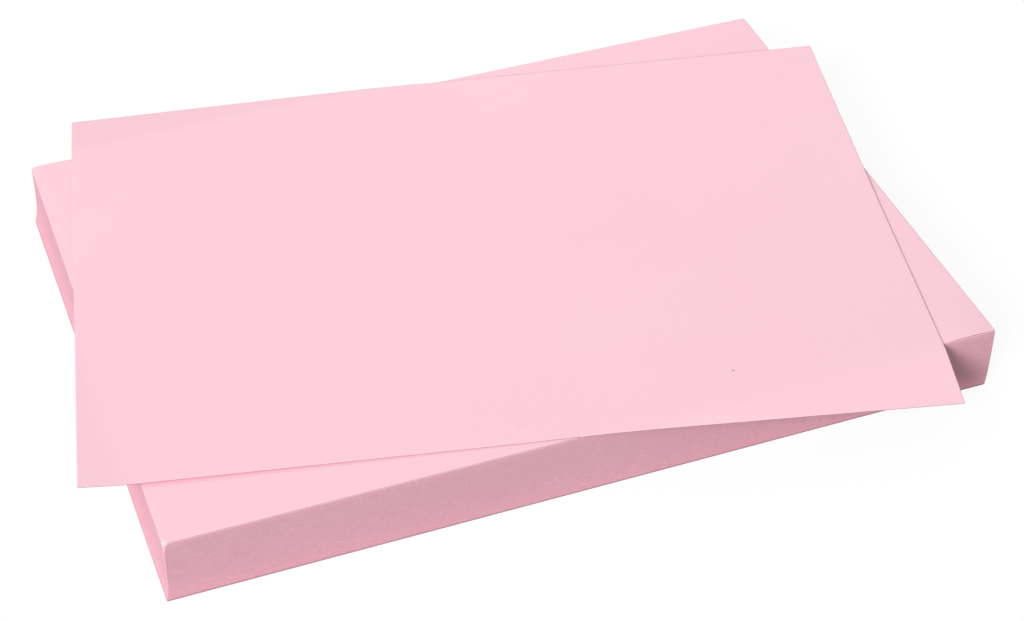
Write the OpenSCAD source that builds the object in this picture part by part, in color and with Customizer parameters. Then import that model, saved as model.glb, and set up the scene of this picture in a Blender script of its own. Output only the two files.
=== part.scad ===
// Pack of cardstock: a squared pack of A4 sheets, with one more sheet lying turned on top of it.
// The origin is the middle of the lowest sheet's underside. +X runs along the long side,
// +Y from the front long edge to the back one, and +Z up.

/* [Sheet] */
// Long side of a sheet
sheet_l = 297; // [200:1:420]
// Short side of a sheet
sheet_w = 210; // [140:1:297]
// Thickness of the card
sheet_t = 0.22; // [0.15:0.01:0.35]

/* [Pack] */
// Sheets in the pack, without the loose one
pack_n = 99; // [49:1:109]
// Air left between two sheets that lie flat on each other
air = 0.021; // [0.005:0.001:0.05]
// Share of the sheets, counted from the bottom, that spread out to the left and the front
spread_share = 0.33; // [0.1:0.01:0.8]
// How far the lowest sheet lies to the left of the squared sheets
spread_x = 1.6; // [0:0.1:4]
// How far the lowest sheet lies in front of the squared sheets
spread_y = 1.4; // [0:0.1:4]
// Angle by which the squared sheets are turned clockwise from the lowest one
spread_turn = 0.2; // [0:0.05:0.5]
// How far a sheet may lie off its neighbours, to any side
scatter = 0.06; // [0:0.02:0.3]

/* [Top sheets] */
// Sheets at the top of the pack that have come a little apart at the front right corner
top_n = 9; // [3:1:12]
// Height by which the uppermost one bows up there
bow_h = 0.45; // [0.1:0.05:0.8]
// Share of that height by which the second one bows up
bow_share = 0.45; // [0.1:0.05:0.8]
// Length of the bowed stretch of its front edge, measured from the corner
bow_l = 20; // [12:1:20]
// Depth of the bowed stretch, measured from the front edge
bow_w = 25; // [10:1:60]
// How far the uppermost sheet lies back from the ones below it
top_back = 0.25; // [0:0.05:1]

/* [Loose sheet] */
// Angle by which the loose sheet is turned clockwise from the lowest one
loose_turn = 11.5; // [8:0.5:15]
// Shift of its middle to the right of the origin
loose_x = -0.7; // [-8:0.1:8]
// Shift of its middle to the back of the origin
loose_y = 2.5; // [-8:0.1:8]
// Air left between it and the pack
loose_air = 0.18; // [0.15:0.01:0.3]
// Height by which its front left corner lifts past the pack
lift_front_left = 1.8; // [0:0.1:6]
// Height by which its back right corner lifts
lift_back_right = 1.5; // [0:0.1:6]
// Height by which its front right corner droops past the pack
droop_front_right = 3.8; // [0:0.1:6]
// Height by which its back left corner droops past the pack
droop_back_left = 3.6; // [0:0.1:6]
// Distance past the pack's edge at which it starts to lift or droop
bend_start = 1; // [1:0.5:8]

/* [Hidden] */
// Sheets that share one node, as separate solids
per_node = 2;
// Side of the loose sheet's facets
facet = 6;
// Golden angle, which spreads the scattered sheets evenly
golden = 137.508;
card_colour = [1, 0.8, 0.86];

pitch = sheet_t + air;
plain_n = pack_n - top_n;
group_n = ceil(plain_n / per_node);
pack_top = pack_n * pitch - air;

function two_digits(n) = n < 10 ? str("0", n) : str(n);
function group_last(g) = min((g + 1) * per_node, plain_n);
function group_name(g) = str("sheets_", two_digits(g * per_node + 1), "_", two_digits(group_last(g)));
function top_name(k) = str("top_sheet_", k);

// Where sheet i of the pack lies, counted from 0 at the bottom
function squared(i) = min(1, i / (pack_n * spread_share));
function sheet_x(i) = spread_x * squared(i) + scatter * sin(golden * i);
function sheet_y(i) = spread_y * squared(i) + scatter * sin(golden * 2 * i) + (i == pack_n - 1 ? top_back : 0);
function sheet_turn(i) = -spread_turn * squared(i);

module lay(i) {
  translate([sheet_x(i), sheet_y(i), i * pitch]) rotate(sheet_turn(i)) children();
}

module flat_sheet() {
  translate([-sheet_l / 2, -sheet_w / 2, 0]) cube([sheet_l, sheet_w, sheet_t]);
}

// A sheet whose underside lies at the height that z_at gives for each crossing of its grid
module formed_sheet(xs, ys, z_at) {
  nx = len(xs);
  ny = len(ys);
  function id(side, i, j) = side * nx * ny + j * nx + i;
  function wall(a, b) = [a, a + nx * ny, b + nx * ny, b];
  points = [for (side = [0, 1], y = ys, x = xs) [x, y, z_at(x, y) + side * sheet_t]];
  faces = concat(
    [for (i = [0:nx - 2], j = [0:ny - 2]) [id(1, i, j), id(1, i, j + 1), id(1, i + 1, j + 1)]],
    [for (i = [0:nx - 2], j = [0:ny - 2]) [id(1, i, j), id(1, i + 1, j + 1), id(1, i + 1, j)]],
    [for (i = [0:nx - 2], j = [0:ny - 2]) [id(0, i, j), id(0, i + 1, j + 1), id(0, i, j + 1)]],
    [for (i = [0:nx - 2], j = [0:ny - 2]) [id(0, i, j), id(0, i + 1, j), id(0, i + 1, j + 1)]],
    [for (i = [0:nx - 2]) wall(id(0, i, 0), id(0, i + 1, 0))],
    [for (i = [0:nx - 2]) wall(id(0, i + 1, ny - 1), id(0, i, ny - 1))],
    [for (j = [0:ny - 2]) wall(id(0, nx - 1, j), id(0, nx - 1, j + 1))],
    [for (j = [0:ny - 2]) wall(id(0, 0, j + 1), id(0, 0, j))]
  );
  polyhedron(points, faces);
}

// The bow of the top sheets: a half wave along the front edge that dies out towards the back
function bow_height(k) = bow_h * (k == 1 ? 1 : bow_share * (top_n + 1 - k) / top_n);
function bow_along(x) = sin(180 * max(0, min(1, (sheet_l / 2 - x) / bow_l)));
function bow_back(y) = pow(max(0, 1 - (y + sheet_w / 2) / bow_w), 2);
bow_steps = 6;
bow_xs = concat([-sheet_l / 2], [for (s = [bow_steps:-1:0]) sheet_l / 2 - bow_l * s / bow_steps]);
bow_ys = concat([for (s = [0:bow_steps]) -sheet_w / 2 + bow_w * s / bow_steps], [sheet_w / 2]);

// The loose sheet: how far a point of it lies past the pack's edges, and how much it lifts or droops there
function x_in_pack(x, y) = loose_x + x * cos(loose_turn) + y * sin(loose_turn);
function y_in_pack(x, y) = loose_y - x * sin(loose_turn) + y * cos(loose_turn);
function past_left(x, y) = max(0, spread_x - sheet_l / 2 - bend_start - x_in_pack(x, y));
function past_front(x, y) = max(0, spread_y - sheet_w / 2 - bend_start - y_in_pack(x, y));
function past_back(x, y) = max(0, y_in_pack(x, y) - spread_y - sheet_w / 2 - bend_start);
left_overhang = max(1, past_left(-sheet_l / 2, -sheet_w / 2));
front_overhang = max(1, past_front(sheet_l / 2, -sheet_w / 2));
back_overhang = max(1, past_back(-sheet_l / 2, sheet_w / 2));
function loose_z(x, y) =
  lift_front_left * past_left(x, y) / left_overhang
  + lift_back_right * max(0, 2 * x / sheet_l) * max(0, 2 * y / sheet_w)
  - droop_front_right * past_front(x, y) / front_overhang
  - droop_back_left * past_back(x, y) / back_overhang;
function steps(size) = [for (s = [0:round(size / facet)]) size * (s / round(size / facet) - 0.5)];

// Two plain sheets of the pack, apart by the air between them
module sheet_group(g) {
  color(card_colour)
    for (i = [g * per_node:group_last(g) - 1]) lay(i) flat_sheet();
}

// Top sheet k, counted from 1 at the top of the pack
module top_sheet(k) {
  color(card_colour)
    lay(pack_n - k)
      formed_sheet(bow_xs, bow_ys, function (x, y) bow_height(k) * bow_along(x) * bow_back(y));
}

// The sheet that lies turned on the pack, two corners lifted and two drooping
module loose_sheet() {
  color(card_colour)
    translate([loose_x, loose_y, pack_top + loose_air])
      rotate(-loose_turn)
        formed_sheet(steps(sheet_l), steps(sheet_w), function (x, y) loose_z(x, y));
}

for (g = [0:group_n - 1]) sheet_group(g);
for (k = [1:top_n]) top_sheet(k);
loose_sheet();
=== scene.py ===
from math import cos, pi, radians, sin

import bpy
import numpy as np
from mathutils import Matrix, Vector


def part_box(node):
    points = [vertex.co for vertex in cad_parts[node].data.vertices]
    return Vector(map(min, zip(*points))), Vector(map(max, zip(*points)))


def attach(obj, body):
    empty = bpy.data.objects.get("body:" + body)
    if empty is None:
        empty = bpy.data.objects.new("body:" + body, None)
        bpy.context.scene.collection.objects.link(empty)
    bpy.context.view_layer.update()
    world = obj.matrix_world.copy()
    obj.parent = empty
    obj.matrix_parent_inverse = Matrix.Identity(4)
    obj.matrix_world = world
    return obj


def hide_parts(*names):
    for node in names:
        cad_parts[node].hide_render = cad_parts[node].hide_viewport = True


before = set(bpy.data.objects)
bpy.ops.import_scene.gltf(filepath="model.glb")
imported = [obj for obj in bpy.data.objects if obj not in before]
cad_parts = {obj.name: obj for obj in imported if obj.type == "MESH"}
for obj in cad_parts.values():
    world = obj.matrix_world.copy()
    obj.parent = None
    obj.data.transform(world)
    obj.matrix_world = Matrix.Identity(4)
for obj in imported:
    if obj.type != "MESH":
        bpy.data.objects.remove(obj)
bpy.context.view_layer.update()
scene = bpy.context.scene
scene.view_settings.view_transform = "Standard"

# The view of the photograph: a long lens that looks down on the pack from its front left.
# Its distance and lens come from the way the pack's outline narrows to the back.
sensor_width = 36.0
focal_px = 2298.0
photo_width_px = 1024
camera_azimuth = radians(-20.42)
camera_elevation = radians(40.49)
camera_distance = 0.8462
nearest_seen = 0.05
looked_at = Vector((0.0053, -0.0088, 0.0))


def direction_to(azimuth, elevation):
    """The direction out to a camera or a lamp. Azimuth 0 is the front, and below 0 is the left."""
    return Vector((
        sin(azimuth) * cos(elevation),
        -cos(azimuth) * cos(elevation),
        sin(elevation),
    ))


camera_data = bpy.data.cameras.new("camera")
camera_data.sensor_width = sensor_width
camera_data.lens = focal_px * sensor_width / photo_width_px
camera_data.clip_start = nearest_seen
camera = bpy.data.objects.new("camera", camera_data)
backwards = direction_to(camera_azimuth, camera_elevation)
camera.location = looked_at + camera_distance * backwards
camera.rotation_euler = backwards.to_track_quat("Z", "Y").to_euler()
scene.collection.objects.link(camera)
scene.camera = camera


# The pack's plain sheets: uncoated pale pink card, dyed through, guillotined, squared up by hand
# and lying on each other. Towards the bottom they spread to the left and the front, and knocks
# have blunted both left corners and pressed them down. Only their cut edges show.
sheet_length = 0.297
sheet_width = 0.210
sheet_thickness = 0.00022
half_length = sheet_length / 2
half_width = sheet_width / 2
pack_count = 99
pack_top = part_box("top_sheet_1")[0].z + sheet_thickness
spread_power = 5
spread_x = 0.0016
spread_y = 0.0014
spread_turn = radians(0.2)
top_back = 0.00025
sharp_radius = 0.0003
front_left_radius = 0.0017
back_left_radius = 0.0010
blunt_power = 10
front_left_knock = 0.0008
front_left_reach = 0.0025
back_left_knock = 0.0007
back_left_reach = 0.0030
cut_wander = 0.000015
cut_long_wave = 55
cut_short_wave = 130
cut_depth = 0.004
proud_sheets = {88: 0.00014, 94: 0.00006}
proud_length = 0.011
rim_places = [0.0, 0.00025, 0.0005, 0.0008, 0.0012, 0.0016, 0.0021, 0.0028, 0.0040, 0.0065]
pack_margin = 0.011
pack_pitch = 0.014
level_digits = 6

edge_deep = (0.755, 0.398, 0.475, 1.0)
edge_pale = (0.855, 0.463, 0.552, 1.0)
edge_fluff = (0.97, 0.610, 0.695, 1.0)
edge_nick = (0.62, 0.285, 0.360, 1.0)
# The next colour is a painted shadow: the dark contact line where the lowest sheets' cut edges
# meet the floor.
edge_contact_shadow = (0.48, 0.280, 0.320, 1.0)
edge_flush = (0.86, 0.385, 0.505, 1.0)
mid_tone = 0.5
streak_fineness = (260.0, 2100.0)
streak_weight = 1.5
streak_tooth = 0.5
patch_fineness = (35.0, 90.0)
patch_weight = 0.4
grain_fineness = (1100.0, 2300.0)
grain_weight = 1.9
fluff_fineness = (620.0, 2000.0)
fluff_share = 0.6
nick_fineness = (560.0, 1700.0)
nick_share = 0.5
dash_fineness = (330.0, 1700.0)
flush_share = 0.7
flush_full_below = 0.0014
flush_none_above = 0.0038
# The painted contact shadow along the pack's foot: its strength, and the heights where it is full
# and where it fades out.
contact_shadow_share = 0.85
contact_shadow_full_below = 0.0003
contact_shadow_none_above = 0.0007
edge_roughness = 0.92
edge_tooth_height = 0.00003
tooth_strength = 0.12
card_specular = 0.3


class Socket:
    """An output in a material's nodes. Arithmetic on it adds Math nodes."""

    def __init__(self, tree, output=None):
        self.tree = tree
        self.output = output

    def add(self, kind, settings=None, sockets=None, output=0):
        node = self.tree.nodes.new(kind)
        for name, value in (settings or {}).items():
            setattr(node, name, value)
        for name, value in (sockets or {}).items():
            if isinstance(value, Socket):
                self.tree.links.new(value.output, node.inputs[name])
            else:
                node.inputs[name].default_value = value
        return Socket(self.tree, node.outputs[output] if node.outputs else None)

    def math(self, operation, *values):
        return self.add("ShaderNodeMath", {"operation": operation}, dict(enumerate(values)))

    def __add__(self, other):
        return self.math("ADD", self, other)

    def __sub__(self, other):
        return self.math("SUBTRACT", self, other)

    def __mul__(self, other):
        return self.math("MULTIPLY", self, other)

    def __rsub__(self, other):
        return self.math("SUBTRACT", other, self)

    __radd__ = __add__
    __rmul__ = __mul__

    def fading(self, full_at, none_at):
        """1 where the value is full_at, and smoothly down to 0 where it is none_at."""
        sockets = {"Value": self, "From Min": none_at, "From Max": full_at}
        return self.add("ShaderNodeMapRange", {"interpolation_type": "SMOOTHSTEP"}, sockets)

    def stretched(self, *scales):
        return self.add("ShaderNodeMapping", {}, {"Vector": self, "Scale": scales})

    def noise(self, scale, detail=2.0, roughness=0.5):
        sockets = {"Vector": self, "Scale": scale, "Detail": detail, "Roughness": roughness}
        return self.add("ShaderNodeTexNoise", {}, sockets)

    def specks(self, fineness, detail=2.0, roughness=0.5):
        """Noise of one fineness along the sheets and of another up through them."""
        along, up = fineness
        return self.stretched(along, along, up).noise(1.0, detail, roughness)

    def blended(self, first, second):
        """A colour that goes from the first to the second with this value."""
        sockets = {"Factor": self, 6: first, 7: second}
        return self.add("ShaderNodeMix", {"data_type": "RGBA"}, sockets, 2)


def new_card(name):
    """A material, the start of its nodes, and the place on the sheet in metres."""
    material = bpy.data.materials.new(name)
    material.use_nodes = True
    material.node_tree.nodes.clear()
    start = Socket(material.node_tree)
    return material, start, start.add("ShaderNodeTexCoord", output="Object")


def finish_card(start, colour, roughness, tooth, tooth_height):
    """Matt card of that colour, with its tooth as a bump."""
    bump = start.add(
        "ShaderNodeBump",
        {},
        {"Height": tooth, "Strength": tooth_strength, "Distance": tooth_height},
    )
    surface = start.add("ShaderNodeBsdfPrincipled", {}, {
        "Base Color": colour,
        "Roughness": roughness,
        "Specular IOR Level": card_specular,
        "Normal": bump,
    })
    start.add("ShaderNodeOutputMaterial", {}, {"Surface": surface})


edge_card, start, place = new_card("card_edge")
streak = place.specks(streak_fineness, detail=3.0, roughness=0.6)
patch = place.specks(patch_fineness)
grain = place.specks(grain_fineness, roughness=0.6)
fluff = place.specks(fluff_fineness, detail=1.0).fading(full_at=0.78, none_at=0.67)
nick = place.specks(nick_fineness, detail=1.0).fading(full_at=0.21, none_at=0.31)
dash = place.specks(dash_fineness, roughness=0.6).fading(full_at=0.62, none_at=0.52)
height = start.add("ShaderNodeSeparateXYZ", {}, {"Vector": place}, "Z")
flush = dash * height.fading(flush_full_below, flush_none_above) * flush_share
# Painted shadow: the cut edges darken within the lowest few tenths of a millimetre, where the pack
# meets the floor.
contact_shadow = height.fading(contact_shadow_full_below, contact_shadow_none_above) * contact_shadow_share
tone = (
    (streak - mid_tone) * streak_weight
    + (patch - mid_tone) * patch_weight
    + (grain - mid_tone) * grain_weight
    + mid_tone
)
colour = flush.blended(tone.blended(edge_deep, edge_pale), edge_flush)
colour = (fluff * fluff_share).blended(colour, edge_fluff)
colour = (nick * nick_share).blended(colour, edge_nick)
colour = contact_shadow.blended(colour, edge_contact_shadow)
tooth = streak * streak_tooth + grain
finish_card(start, colour, edge_roughness, tooth, edge_tooth_height)


def spacing(margin, size, pitch):
    """Places from 0 to size: the rim's own at both ends, and a pitch apart between the margins."""
    near = np.array(rim_places)
    middle = np.linspace(margin, size - margin, max(2, round((size - 2 * margin) / pitch) + 1))
    return np.concatenate([near, middle, size - near[::-1]])


def corners_at(middle, turn, underside):
    """A sheet's lower corners: front left, front right, back right and back left."""
    signs = np.array([[-1, -1], [1, -1], [1, 1], [-1, 1]])
    x, y = (signs * (half_length, half_width)).T
    return np.stack([
        middle[0] + x * cos(turn) - y * sin(turn),
        middle[1] + x * sin(turn) + y * cos(turn),
        np.full(4, underside),
    ], 1)


def pack_corners(number, underside):
    """Where a sheet of the pack lies, counted from 1 at the bottom."""
    share = 1 - (1 - (number - 1) / pack_count) ** spread_power
    back = top_back if number == pack_count else 0
    middle = (spread_x * share, spread_y * share + back)
    return corners_at(middle, -spread_turn * share, underside)


def pack_radii(underside):
    """A pack sheet's corner radii. The knocks have blunted only the uppermost sheets."""
    share = (underside / pack_top) ** blunt_power
    front_left = sharp_radius + (front_left_radius - sharp_radius) * share
    back_left = sharp_radius + (back_left_radius - sharp_radius) * share
    return front_left, sharp_radius, sharp_radius, back_left


def knocked_down(along, across, underside):
    """How far the knocked left corners lie below the flat sheet, at that height in the pack."""
    def fall(from_side, from_end, reach):
        return (np.clip(1 - from_side / reach, 0, 1) * np.clip(1 - from_end / reach, 0, 1)) ** 2
    front = front_left_knock * fall(along, across, front_left_reach)
    back = back_left_knock * fall(along, sheet_width - across, back_left_reach)
    return underside / pack_top * (front + back)


def blunted(along, across, radii):
    """Draws the grid at a sheet's corners in to their radii, one point to one."""
    x_ends = (0, sheet_length, sheet_length, 0)
    y_ends = (0, 0, sheet_width, sheet_width)
    for x_end, y_end, radius in zip(x_ends, y_ends, radii):
        u = np.clip(1 - abs(along - x_end) / radius, 0, 1)
        v = np.clip(1 - abs(across - y_end) / radius, 0, 1)
        inwards_x = 1 if x_end == 0 else -1
        inwards_y = 1 if y_end == 0 else -1
        along = along + inwards_x * radius * u * (1 - np.sqrt(1 - v ** 2 / 2))
        across = across + inwards_y * radius * v * (1 - np.sqrt(1 - u ** 2 / 2))
    return along, across


def wander(place, phases):
    """How far a cut edge lies in from its straight line: from 0 to cut_wander, in two waves."""
    waves = np.sin(place * cut_long_wave + phases[0]) + np.sin(place * cut_short_wave + phases[1])
    return cut_wander * (2 + waves) / 4


def drawn_in(place, size, depth):
    """Moves the points near both rims in, by the depth there."""
    from_rim = np.minimum(place, size - place)
    share = np.clip(1 - from_rim / cut_depth, 0, 1)
    return place + share * depth * np.sign(size / 2 - place)


def card_sheet(corners, columns, rows, underside_at, radii, number):
    """Points, faces and material numbers of one closed sheet of card."""
    along_axis = (corners[1][:2] - corners[0][:2]) / sheet_length
    across_axis = (corners[3][:2] - corners[0][:2]) / sheet_width
    columns, rows = np.meshgrid(columns, rows)
    z = corners[0][2] + underside_at(columns, rows)
    along, across = blunted(columns, rows, radii)
    phases = np.random.default_rng(number).uniform(0, 2 * pi, 4)
    along = drawn_in(along, sheet_length, wander(rows, phases[:2]))
    across = drawn_in(across, sheet_width, wander(columns, phases[2:]))
    near_front = np.clip(1 - rows / cut_depth, 0, 1)
    near_left = np.clip(1 - columns / proud_length, 0, 1)
    across = across - proud_sheets.get(number, 0) * near_front * near_left
    flat = corners[0][:2] + along[..., None] * along_axis + across[..., None] * across_axis
    bottom = np.dstack([flat, z]).reshape(-1, 3)
    top = bottom + (0, 0, sheet_thickness)
    ny, nx = columns.shape
    point = np.arange(nx * ny).reshape(ny, nx)
    a, b = point[:-1, :-1].ravel(), point[:-1, 1:].ravel()
    c, d = point[1:, 1:].ravel(), point[1:, :-1].ravel()
    lift = nx * ny
    rim = np.concatenate([point[0, :], point[1:, -1], point[-1, -2::-1], point[-2:0:-1, 0]])
    after = np.roll(rim, -1)
    faces = np.concatenate([
        np.stack([a, d, c, b], 1),
        np.stack([a, b, c, d], 1) + lift,
        np.stack([rim, after, after + lift, rim + lift], 1),
    ])
    slots = np.concatenate([np.zeros(2 * len(a), int), np.ones(len(rim), int)])
    return np.concatenate([bottom, top]), faces, slots


def unbowed(along, across):
    """A plain sheet bows up nowhere."""
    return 0


def pack_sheet(number, underside, columns, bow_at=unbowed):
    """A sheet of the pack, with the height that it bows up by at each place."""
    def underside_at(along, across):
        return bow_at(along, across) - knocked_down(along, across, underside)
    corners = pack_corners(number, underside)
    radii = pack_radii(underside)
    return card_sheet(corners, columns, pack_rows, underside_at, radii, number)


def card_piece(name, sheets, node, face_material, edge_material):
    """One object from the sheets that stand for a CAD node."""
    points = []
    faces = []
    slots = []
    count = 0
    for sheet_points, sheet_faces, sheet_slots in sheets:
        points.append(sheet_points)
        faces.append(sheet_faces + count)
        slots.append(sheet_slots)
        count += len(sheet_points)
    mesh = bpy.data.meshes.new(name)
    mesh.from_pydata(np.concatenate(points).tolist(), [], np.concatenate(faces).tolist())
    mesh.materials.append(face_material)
    mesh.materials.append(edge_material)
    slots = np.concatenate(slots)
    mesh.polygons.foreach_set("material_index", slots.astype(np.int32))
    mesh.polygons.foreach_set("use_smooth", slots == 0)
    mesh.update()
    piece = bpy.data.objects.new(name, mesh)
    scene.collection.objects.link(piece)
    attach(piece, "root")
    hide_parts(node)


pack_columns = spacing(pack_margin, sheet_length, pack_pitch)
pack_rows = spacing(pack_margin, sheet_width, pack_pitch)
plain_nodes = sorted(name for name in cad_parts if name.startswith("sheets_"))
for node in plain_nodes:
    first, last = (int(part) for part in node.split("_")[1:])
    # A plain sheet of the node has two levels: its underside, then its top.
    heights = [vertex.co.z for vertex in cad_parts[node].data.vertices]
    undersides = np.unique(np.round(heights, level_digits))[::2]
    numbers = range(first, last + 1)
    sheets = [pack_sheet(*sheet, pack_columns) for sheet in zip(numbers, undersides)]
    card_piece(f"card_{first:02d}_{last:02d}", sheets, node, edge_card, edge_card)


# The top sheets of the pack: the same card, which has come a little apart at the front right
# corner, where the sheets bow up one by one beside the loose sheet's edge. Their faces are matt
# with a fine tooth. The uppermost one's single cut edge is painted dark: a painted shadow of the
# gap beneath it, which shows as a thin dark line.
top_count = 9
bow_height = 0.00045
bow_share = 0.45
bow_length = 0.020
bow_width = 0.025
bow_lines = 13

face_pale = (0.985, 0.640, 0.725, 1.0)
face_deep = (0.985, 0.600, 0.690, 1.0)
cloud_scale = 11.0
cloud_weight = 0.9
fibre_scale = 1500.0
fibre_weight = 0.35
tooth_scale = 4200.0
tooth_weight = 0.5
face_roughness = 0.85
face_tooth_height = 0.00002
# The single sheets' cut edges are painted dark grey-brown: a painted shadow of the gap under the
# edge, in place of the card's own edge colour.
rim_shadow_deep = (0.38, 0.250, 0.290, 1.0)
rim_shadow_pale = (0.48, 0.310, 0.360, 1.0)
rim_fineness = (900.0, 2300.0)
rim_tooth_height = 0.00002


def face_pulp(place):
    """The colour and the tooth of a sheet's face."""
    cloud = place.noise(cloud_scale, detail=3.0)
    fibre = place.noise(fibre_scale, detail=3.0, roughness=0.6)
    tone = (cloud - mid_tone) * cloud_weight + (fibre - mid_tone) * fibre_weight + mid_tone
    tooth = fibre + place.noise(tooth_scale) * tooth_weight
    return tone.blended(face_deep, face_pale), tooth


face_card, start, place = new_card("card_face")
pulp, tooth = face_pulp(place)
finish_card(start, pulp, face_roughness, tooth, face_tooth_height)

# The single sheets' cut edges, painted with the shadow of the gap beneath them.
shaded_rim_card, start, place = new_card("single_card_edge_painted_shadow")
rim_fibre = place.specks(rim_fineness, roughness=0.6)
rim_shadow_colour = rim_fibre.blended(rim_shadow_deep, rim_shadow_pale)
finish_card(start, rim_shadow_colour, edge_roughness, rim_fibre, rim_tooth_height)

bow_places = sheet_length - bow_length * np.linspace(1, 0, bow_lines)
plain_places = pack_columns[pack_columns < sheet_length - bow_length]
right_places = sheet_length - np.array(rim_places)
top_columns = np.unique(np.concatenate([plain_places, bow_places, right_places]))
for k in range(top_count, 0, -1):
    share = 1 if k == 1 else bow_share * (top_count + 1 - k) / top_count

    def bow_at(along, across):
        half_wave = np.sin(pi * np.clip((sheet_length - along) / bow_length, 0, 1))
        dying_out = np.clip(1 - across / bow_width, 0, 1) ** 2
        return bow_height * share * half_wave * dying_out

    node = f"top_sheet_{k}"
    sheet = pack_sheet(pack_count + 1 - k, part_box(node)[0].z, top_columns, bow_at)
    card_piece(f"top_card_{k}", [sheet], node, face_card, shaded_rim_card if k == 1 else edge_card)


# The loose sheet: one more of the same sheets, laid turned on the pack. Card that has lain open
# curls: its front left and back right corners lift, and the other two droop past the pack's
# edges. It has two small dark flecks in its pulp and a faint rub mark.
loose_number = 300
loose_turn = radians(11.5)
loose_middle = np.array([-0.0007, 0.0025])
loose_air = 0.00018
loose_margin = 0.009
loose_pitch = 0.003
lift_front_left = 0.0018
lift_back_right = 0.0015
droop_front_right = 0.0038
droop_back_left = 0.0036
pack_lift = 0.0008
pack_lift_start = 0.015
bend_start = 0.001
left_bend = 0.008
front_bend = 0.005
back_bend = 0.008

fleck_dark = (0.45, 0.22, 0.27, 1.0)
fleck_place = (0.0552, -0.0912, 0.0243)
fleck_radius = 0.0007
fleck_share = 0.75
faint_fleck_place = (0.0587, -0.0696, 0.0243)
faint_fleck_radius = 0.0009
faint_fleck_share = 0.10
rub_dark = (0.90, 0.52, 0.60, 1.0)
rub_place = (-0.0222, -0.0916, 0.0243)
rub_stretch = (0.28, 1.0, 1.0)
rub_radius = 0.0009
rub_share = 0.35
mark_core = 0.0002


def in_pack(x, y):
    """Where a place on the loose sheet lies over the pack."""
    return (
        loose_middle[0] + x * cos(loose_turn) + y * sin(loose_turn),
        loose_middle[1] - x * sin(loose_turn) + y * cos(loose_turn),
    )


def bent(past, bend):
    """How far a place has bent away, from how far it lies past the pack's edge."""
    past = np.maximum(0, past - bend_start)
    return np.where(past < bend, past ** 2 / (2 * bend), past - bend / 2)


def past_pack(x, y):
    """The bends past the pack's left, front and back edge."""
    x, y = in_pack(x, y)
    return (
        bent(spread_x - half_length - x, left_bend),
        bent(spread_y - half_width - y, front_bend),
        bent(y - spread_y - half_width, back_bend),
    )


left_most = past_pack(-half_length, -half_width)[0]
front_most = past_pack(half_length, -half_width)[1]
back_most = past_pack(-half_length, half_width)[2]


def loose_underside(along, across):
    """How far the loose sheet lies above or below its flat place on the pack."""
    x, y = along - half_length, across - half_width
    left, front, back = past_pack(x, y)
    left_share = np.maximum(0, (-x - pack_lift_start) / (half_length - pack_lift_start))
    return (
        pack_lift * left_share * np.maximum(0, -y / half_width)
        + (lift_front_left - pack_lift) * left / left_most
        + lift_back_right * np.maximum(0, x / half_length) * np.maximum(0, y / half_width)
        - droop_front_right * front / front_most
        - droop_back_left * back / back_most
    )


def mark(place, centre, radius, share):
    """A small mark on the card, full in its core and faded out at the radius."""
    sockets = {0: place, 1: centre}
    distance = place.add("ShaderNodeVectorMath", {"operation": "DISTANCE"}, sockets, 1)
    return distance.fading(mark_core, radius) * share


loose_face, start, place = new_card("loose_card_face")
pulp, tooth = face_pulp(place)
fleck = mark(place, fleck_place, fleck_radius, fleck_share)
faint_fleck = mark(place, faint_fleck_place, faint_fleck_radius, faint_fleck_share)
rub_centre = tuple(part * scale for part, scale in zip(rub_place, rub_stretch))
rub = mark(place.stretched(*rub_stretch), rub_centre, rub_radius, rub_share)
colour = (fleck + faint_fleck).blended(rub.blended(pulp, rub_dark), fleck_dark)
finish_card(start, colour, face_roughness, tooth, face_tooth_height)

loose_corners = corners_at(loose_middle, -loose_turn, pack_top + loose_air)
loose_columns = spacing(loose_margin, sheet_length, loose_pitch)
loose_rows = spacing(loose_margin, sheet_width, loose_pitch)
loose_radii = (sharp_radius,) * 4
loose = card_sheet(
    loose_corners, loose_columns, loose_rows, loose_underside, loose_radii, loose_number
)
# Its cut edge carries the same painted shadow as the uppermost pack sheet's.
card_piece("loose_card", [loose], "loose_sheet", loose_face, shaded_rim_card)


# The table and the light: a plain floor that looks white and keeps the pack's shadow, a soft lamp
# at the front left, two weak ones at the left and the back, and a pale surround, which the camera
# sees as white. The pack's top is brightest, then its left side.
floor_grey = (0.30, 0.30, 0.30, 1.0)
floor_shadowed = (0.12, 0.12, 0.12, 1.0)
floor_glow = 0.90
floor_reach = 3.0
floor_drop = 0.00005
white = (1.0, 1.0, 1.0, 1.0)
surround_level = 0.45
backdrop_level = 1.0

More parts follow.
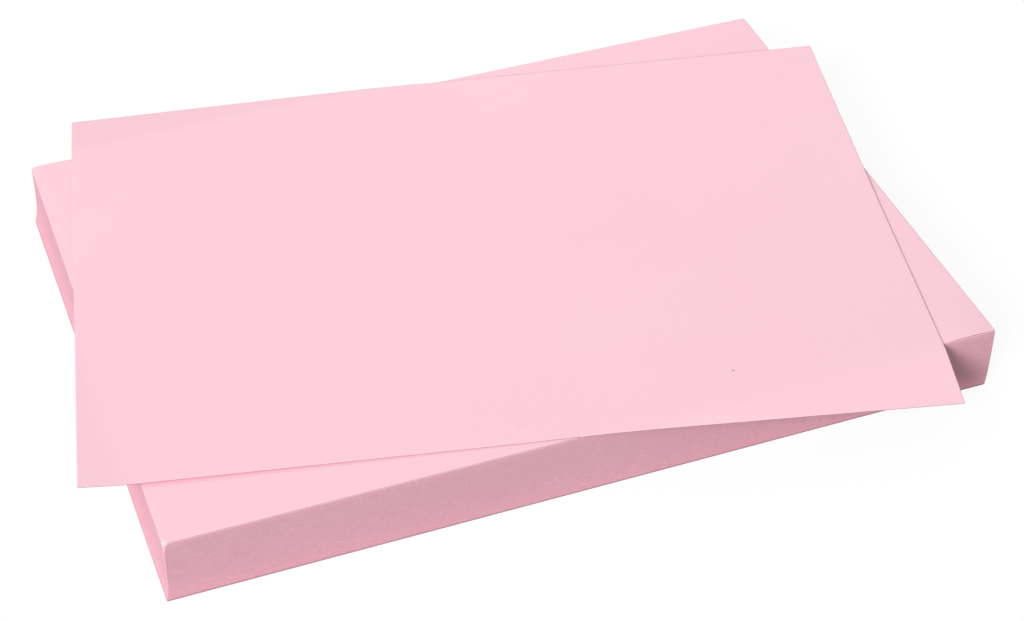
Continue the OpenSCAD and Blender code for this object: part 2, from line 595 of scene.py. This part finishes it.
floor_corners = [
    (-floor_reach, -floor_reach, 0),
    (floor_reach, -floor_reach, 0),
    (floor_reach, floor_reach, 0),
    (-floor_reach, floor_reach, 0),
]
floor_mesh = bpy.data.meshes.new("floor")
floor_mesh.from_pydata(floor_corners, [], [(0, 1, 2, 3)])
floor = bpy.data.objects.new("floor", floor_mesh)
floor.location.z = -floor_drop
scene.collection.objects.link(floor)
floor_material = bpy.data.materials.new("floor")
floor_material.use_nodes = True
floor_material.node_tree.nodes.clear()
start = Socket(floor_material.node_tree)
seen = start.add("ShaderNodeLightPath", output="Is Camera Ray")
lit = start.add("ShaderNodeBsdfDiffuse", {}, {"Color": floor_grey})
shadowed = start.add("ShaderNodeBsdfDiffuse", {}, {"Color": floor_shadowed})
glow = start.add("ShaderNodeEmission", {}, {"Color": white, "Strength": floor_glow})
shown = start.add("ShaderNodeAddShader", {}, {0: shadowed, 1: glow})
mixed = start.add("ShaderNodeMixShader", {}, {0: seen, 1: lit, 2: shown})
start.add("ShaderNodeOutputMaterial", {}, {"Surface": mixed})
floor_mesh.materials.append(floor_material)


def soft_lamp(name, azimuth, elevation, distance, size, level):
    """A round lamp. A white face turned to it from the middle would show at that level."""
    direction = direction_to(radians(azimuth), radians(elevation))
    data = bpy.data.lights.new(name, "AREA")
    data.shape = "DISK"
    data.size = size
    data.energy = pi ** 2 * distance ** 2 * level
    lamp = bpy.data.objects.new(name, data)
    lamp.location = distance * direction
    lamp.rotation_euler = direction.to_track_quat("Z", "Y").to_euler()
    scene.collection.objects.link(lamp)


soft_lamp("key", azimuth=-49.5, elevation=31, distance=4.0, size=1.6, level=0.80)
soft_lamp("side", azimuth=-95, elevation=20, distance=3.0, size=1.6, level=0.167)
soft_lamp("back", azimuth=162, elevation=40, distance=0.8, size=0.5, level=0.18)

world = bpy.data.worlds.new("surround")
world.use_nodes = True
world.node_tree.nodes.clear()
scene.world = world
start = Socket(world.node_tree)
seen = start.add("ShaderNodeLightPath", output="Is Camera Ray")
surround = start.add("ShaderNodeBackground", {}, {"Color": white, "Strength": surround_level})
backdrop = start.add("ShaderNodeBackground", {}, {"Color": white, "Strength": backdrop_level})
mixed = start.add("ShaderNodeMixShader", {}, {0: seen, 1: surround, 2: backdrop})
start.add("ShaderNodeOutputWorld", {}, {"Surface": mixed})
